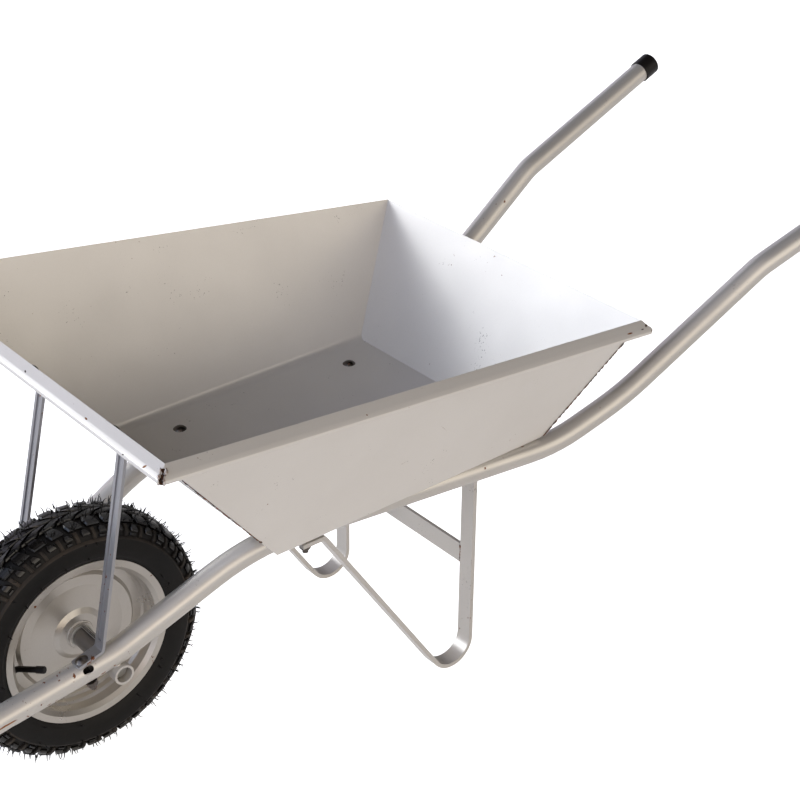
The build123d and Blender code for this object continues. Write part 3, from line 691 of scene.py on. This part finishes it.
def addOpenCorner(side, name):
    # the rim's sheet is cut and folded at the front corner and never closed
    inset = cornerLook["inset"]
    centre = Vector((trayHigh.x - inset, side * (trayHigh.y - inset), trayHigh.z - cornerLook["below"]))
    diagonal = Vector((1, side, 0)).normalized()
    across = Vector((-side, 1, 0)).normalized()
    steps, path = cornerLook["steps"], []
    for i in range(steps + 1):
        turn = math.radians(cornerLook["startTurn"] - cornerLook["sweep"] * i / steps)
        aim = diagonal * math.cos(turn) + Vector((0, 0, 1)) * math.sin(turn)
        point = traySkin.ray_cast(centre + aim * cornerLook["castFrom"], -aim)[0]
        if point is not None and (point - centre).length < cornerLook["reach"]:
            path.append((point, aim, across))
    if len(path) < 5:
        return
    # the near-black ribbon is painted shade of the open gap, with rust flecks in it
    ribbon("cornerGapShade" + name, path, cornerLook["wide"], cornerLook["high"], darkChipsAndGapShade, 1.2)
    for hand in (-1, 1):
        torn = [(p + a * hand * cornerLook["wide"] * 1.5, o, a) for p, o, a in path]
        ribbon("cornerTorn" + name + ("Ahead" if hand < 0 else "Beside"), torn, cornerLook["tornWide"],
               cornerLook["tornHigh"], chippedPaint, 1.1)


addTraySeams()
addOpenCorner(1, "Left")
addOpenCorner(-1, "Right")
print("stage: tray made")


# Chips, rust and scratches: thin ragged patches laid on the surface

rearLip = trayHigh.y - rimShape["taper"]
ahead = axleAt.x
down, inward, backward = (0, 0, -1), (0, -1, 0), (-1, 0, 0)
# (name, on, ray start, ray direction, long side, length, width, finish)
marks = [
    ("chipRearTop", "tray", (trayLow.x + 0.010, rearLip - 0.008, 0.6), down,
     (1, 0.5, 0), 0.0090, 0.0028, "dark"),
    ("chipRearTopSmall", "tray", (trayLow.x + 0.021, rearLip - 0.004, 0.6), down,
     (1, 0.1, 0), 0.0050, 0.0016, "dark"),
    ("chipRearLip", "tray", (trayLow.x + 0.005, 0.5, trayHigh.z - 0.043), inward,
     (0.6, 0, 1), 0.0042, 0.0028, "dark"),
    ("rustRearLip", "tray", (trayLow.x + 0.046, 0.5, trayHigh.z - 0.037), inward,
     (1, 0, 0.04), 0.0110, 0.0016, "rust"),
    ("scratchNearWall", "tray", (0.13, 0.6, trayHigh.z - 0.11), inward,
     (1, 0, 0.9), 0.0230, 0.0005, "pale"),
    ("scratchNearWallLow", "tray", (0.18, 0.6, trayHigh.z - 0.15), inward,
     (1, 0, -0.3), 0.0120, 0.0005, "pale"),
    ("chipFrontA", "tray", (trayHigh.x - 0.006, 0.02, 0.7), down,
     (0.2, 1, 0), 0.0048, 0.0020, "dark"),
    ("chipFrontB", "tray", (trayHigh.x - 0.005, 0.16, 0.7), down,
     (0.1, 1, 0), 0.0062, 0.0018, "rust"),
    ("chipFrontC", "tray", (0.8, 0.245, trayHigh.z - 0.013), backward,
     (0, 1, 0.3), 0.0040, 0.0018, "dark"),
    ("chipFrontD", "tray", (0.8, 0.285, trayHigh.z - 0.010), backward,
     (0, 1, 0.8), 0.0060, 0.0024, "rust"),
    ("chipNearLip", "tray", (0.30, 0.6, trayHigh.z - 0.020), inward,
     (1, 0, 0.2), 0.0024, 0.0014, "rust"),
    ("rustTubeA", "frame_tube", (ahead + 0.026, 0.2, 0.182), inward,
     (1, 0, -0.34), 0.0070, 0.0026, "rust"),
    ("rustTubeB", "frame_tube", (ahead + 0.012, 0.2, 0.189), inward,
     (1, 0, -0.34), 0.0040, 0.0020, "rust"),
    ("rustTubeC", "frame_tube", (ahead + 0.096, 0.2, 0.158), inward,
     (1, 0, -0.34), 0.0060, 0.0018, "rust"),
    ("stainTubeA", "frame_tube", (ahead + 0.150, 0.2, 0.147), inward,
     (1, 0, -0.34), 0.0300, 0.0030, "rust"),
    ("stainTubeB", "frame_tube", (ahead + 0.142, 0.2, 0.139), inward,
     (1, 0, -0.34), 0.0140, 0.0014, "dark"),
    ("chipLeg", "leg_left", (0.3, 0.144, 0.112), backward,
     (0, 1, 0.3), 0.0040, 0.0012, "dark"),
    ("chipLegLow", "leg_left", (0.3, 0.150, 0.070), backward,
     (0, 0.4, 1), 0.0030, 0.0014, "dark"),
]


# The patch stands a little proud, and its edge goes a little under the surface
markLift, markSink = 0.00016, 0.00005


def addMarks():
    skins = {"tray": traySkin, "frame_tube": surfaceOf("frame_tube"), "leg_left": surfaceOf("leg_left")}
    finishes = {"dark": darkChipsAndGapShade, "rust": rustPatch, "pale": chippedPaint}
    for name, on, start, aim, along, length, width, finish in marks:
        start, aim = Vector(start), Vector(aim)
        along = (Vector(along) - aim * Vector(along).dot(aim)).normalized()
        across = aim.cross(along)
        rings, count, verts = (0.0, 0.55, 1.0), 22, []
        for ring in rings:
            for i in range(count):
                turn = 2 * math.pi * i / count
                shuffle = len(verts) * 0.02 + length * 900
                chance = Vector((math.cos(turn) * 2.2, math.sin(turn) * 2.2, shuffle))
                rough = ring * (1 + 0.45 * noise.noise(chance))
                longWay, shortWay = math.cos(turn) * rough * length / 2, math.sin(turn) * rough * width / 2
                point = skins[on].ray_cast(start + along * longWay + across * shortWay, aim)[0]
                if point is not None:
                    verts.append(point - aim * (markLift if ring < 1 else -markSink))
        if len(verts) < len(rings) * count:
            continue
        faces = []
        for r in range(len(rings) - 1):
            for i in range(count):
                a, b = r * count + i, r * count + (i + 1) % count
                faces.append((a, b, b + count, a + count))
        meshPiece(name, verts, faces, [finishes[finish]])


addMarks()
print("stage: marks made")


# Welds: beads where the axle pipes, the crossbar and the hub are joined

# (half width, height, raggedness) of each bead
weldLook = {"pipe": (0.0028, 0.0016, 0.6), "crossbar": (0.0019, 0.0012, 0.9), "hub": (0.0019, 0.0012, 0.5)}
pipeRadius = (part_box("axle_pipe_left")[1].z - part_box("axle_pipe_left")[0].z) / 2


def weldBead(name, path, kind, material):
    wide, high, ragged = weldLook[kind]
    return ribbon(name, path, wide, high, material, ragged)


def addPipeWelds():
    tube = surfaceOf("frame_tube")
    for side, name in ((1, "Left"), (-1, "Right")):
        for inside, place in ((1, "Inner"), (-1, "Outer")):
            runs, path = [], []
            for i in range(73):
                turn = math.radians(5 * i)
                ring = Vector((math.cos(turn), 0, math.sin(turn)))
                start = axleAt + ring * pipeRadius
                start.y = side * (0.04 if inside > 0 else 0.20)
                point, normal, face, gap = tube.ray_cast(start, Vector((0, side * inside, 0)))
                if point is not None and abs(abs(point.y) - 0.106) < 0.022:
                    out, across = (ring + normal * 0.8).normalized(), (normal - ring * 0.6).normalized()
                    path.append((point, out, across))
                elif len(path) > 4:
                    runs.append(path)
                    path = []
            if len(path) > 4:
                runs.append(path)
            for k, run in enumerate(runs):
                weldBead("pipeWeld" + place + name + str(k), run, "pipe", framePaint)


def addCrossbarWelds():
    low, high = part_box("leg_crossbar")
    for side, name in ((1, "Left"), (-1, "Right")):
        count = 34
        path = []
        for i in range(count + 1):
            z = low.z + (high.z - low.z) * (0.05 + 0.9 * i / count)
            x = high.x - (high.x - low.x) * 0.03 + (z - high.z) * 0.056
            path.append((Vector((x, side * high.y, z)), Vector((1, 0, 0)), Vector((0, 1, 0))))
        weldBead("crossbarWeld" + name, path, "crossbar", weldSteel)


def addHubWelds():
    skin = surfaceOf("rim_half_left")
    hubLow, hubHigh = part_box("hub_tube")
    radius = (hubHigh.z - hubLow.z) / 2
    for side, name in ((1, "Left"), (-1, "Right")):
        path = []
        for i in range(121):
            turn = 2 * math.pi * i / 120
            ring = Vector((math.cos(turn), 0, math.sin(turn)))
            start = axleAt + ring * (radius + 0.0022) + Vector((0, 0.05, 0))
            point = skin.ray_cast(start, Vector((0, -1, 0)))[0]
            if point is None:
                continue
            spot = axleAt + ring * (radius + 0.0008)
            spot.y = side * (point.y - 0.0002)
            outward = Vector((0, side, 0))
            path.append((spot, (ring + outward).normalized(), (ring - outward).normalized()))
        bead = weldBead("hubWeld" + name, path, "hub", wheelPaint)
        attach(bead, "wheel")


addPipeWelds()
addCrossbarWelds()
addHubWelds()
print("stage: welds made")


# Camera, floor and light

cameraLook = {
    "fromAxle": Vector((0.9178, 1.6921, 1.2822)), "turn": 49.60, "pitch": 26.27, "roll": 3.34, "focal": 79.49,
}


def addCamera():
    turn, pitch, roll = (math.radians(cameraLook[k]) for k in ("turn", "pitch", "roll"))
    ahead = Vector((-math.cos(pitch) * math.cos(turn), -math.cos(pitch) * math.sin(turn), -math.sin(pitch)))
    level = Vector((-math.sin(turn), math.cos(turn), 0))
    over = level.cross(ahead)
    right = level * math.cos(roll) + over * math.sin(roll)
    up = over * math.cos(roll) - level * math.sin(roll)
    data = bpy.data.cameras.new("camera")
    data.lens, data.sensor_width = cameraLook["focal"], 36.0
    camera = bpy.data.objects.new("camera", data)
    bpy.context.scene.collection.objects.link(camera)
    turned = Matrix((right, up, -ahead)).transposed().to_4x4()
    camera.matrix_world = Matrix.Translation(axleAt + cameraLook["fromAxle"]) @ turned
    bpy.context.scene.camera = camera


addCamera()

# soft panels all round, each given by where it stands, how wide it looks and how bright it is
panels = [
    {"turn": 0, "rise": 8, "wide": 30, "soft": 24, "color": (1.15, 1.40, 1.95)},
    {"turn": 102, "rise": 5, "wide": 27, "soft": 20, "color": (1.85, 1.70, 1.48)},
    {"turn": -90, "rise": 8, "wide": 30, "soft": 24, "color": (0.80, 0.76, 0.90)},
    {"turn": 45, "rise": 36, "wide": 30, "soft": 24, "color": (0.50, 0.45, 0.42)},
    {"turn": -50, "rise": 5, "wide": 22, "soft": 10, "color": (4.30, 4.40, 4.45)},
    {"turn": 60, "rise": 3, "wide": 14, "soft": 10, "color": (1.40, 1.10, 0.80)},
]
skyLook = {
    "base": (0.01, 0.01, 0.01, 1), "floorGlow": 0.24, "floorColor": (1.0, 0.94, 0.86, 1), "floorHalf": 12.0,
}


def makePanelGroup():
    group, given, out = newGroup("panel", [
        ("Direction", "NodeSocketVector", (0, 0, 1)),
        ("Aim", "NodeSocketVector", (0, 0, 1)),
        ("Outer", "NodeSocketFloat", 0.7),
        ("Inner", "NodeSocketFloat", 0.95),
        ("Color", "NodeSocketColor", (1, 1, 1, 1)),
    ], [("Color", "NodeSocketColor")])
    dot = vectorNode(group, "DOT_PRODUCT", given.outputs["Direction"], given.outputs["Aim"])
    glow = addNode(group, "ShaderNodeMapRange", {"interpolation_type": "SMOOTHSTEP"},
                   Value=dot.outputs["Value"], From_Min=given.outputs["Outer"], From_Max=given.outputs["Inner"])
    lit = mixColor(group, glow.outputs["Result"], (0, 0, 0, 1), given.outputs["Color"])
    group.links.new(lit, out.inputs["Color"])
    return group


effects["panel"] = makePanelGroup()


def addWorld():
    world = bpy.data.worlds.new("studio")
    bpy.context.scene.world = world
    world.use_nodes = True
    tree = world.node_tree
    around = tree.nodes.new("ShaderNodeTexCoord").outputs["Generated"]
    total = skyLook["base"]
    for panel in panels:
        turn, rise = math.radians(panel["turn"]), math.radians(panel["rise"])
        aim = (math.cos(rise) * math.cos(turn), math.cos(rise) * math.sin(turn), math.sin(rise))
        inner, outer = (math.cos(math.radians(max(panel["wide"] + k * panel["soft"], 1))) for k in (-1, 1))
        lit = useGroup(tree, "panel", Aim=aim, Inner=inner, Outer=outer, Color=(*panel["color"], 1))
        tree.links.new(around, lit.inputs["Direction"])
        added = addNode(tree, "ShaderNodeMix", {"data_type": "RGBA", "blend_type": "ADD"},
                        i0=1.0, i6=total, i7=lit.outputs[0])
        total = added.outputs[2]
    path = tree.nodes.new("ShaderNodeLightPath")
    color = mixColor(tree, path.outputs["Is Camera Ray"], total, (1.0, 1.0, 1.0, 1))
    tree.links.new(color, tree.nodes["Background"].inputs["Color"])


def addFloor():
    material, tree, shader = startMaterial("paperFloor")
    shader.inputs["Roughness"].default_value = 0.9
    tone = noiseAt(tree, objectPoint(tree), 0.8, 2.0)
    paper = mixColor(tree, tone, (0.86, 0.86, 0.86, 1), (0.90, 0.90, 0.90, 1))
    tree.links.new(paper, shader.inputs["Base Color"])
    path = tree.nodes.new("ShaderNodeLightPath")
    white = path.outputs["Is Camera Ray"]
    glowColor = mixColor(tree, white, skyLook["floorColor"], (1, 1, 1, 1))
    tree.links.new(glowColor, shader.inputs["Emission Color"])
    strength = ramp(tree, white, 0.0, 1.0, (skyLook["floorGlow"], 1.0))
    tree.links.new(strength, shader.inputs["Emission Strength"])
    mesh = bpy.data.meshes.new("floor")
    half = skyLook["floorHalf"]
    corners = [(-half, -half, 0), (half, -half, 0), (half, half, 0), (-half, half, 0)]
    mesh.from_pydata(corners, [], [(0, 1, 2, 3)])
    mesh.materials.append(material)
    floor = bpy.data.objects.new("floor", mesh)
    bpy.context.scene.collection.objects.link(floor)


addWorld()
addFloor()
bpy.context.scene.view_settings.view_transform = "Standard"
print("stage: camera and light set")
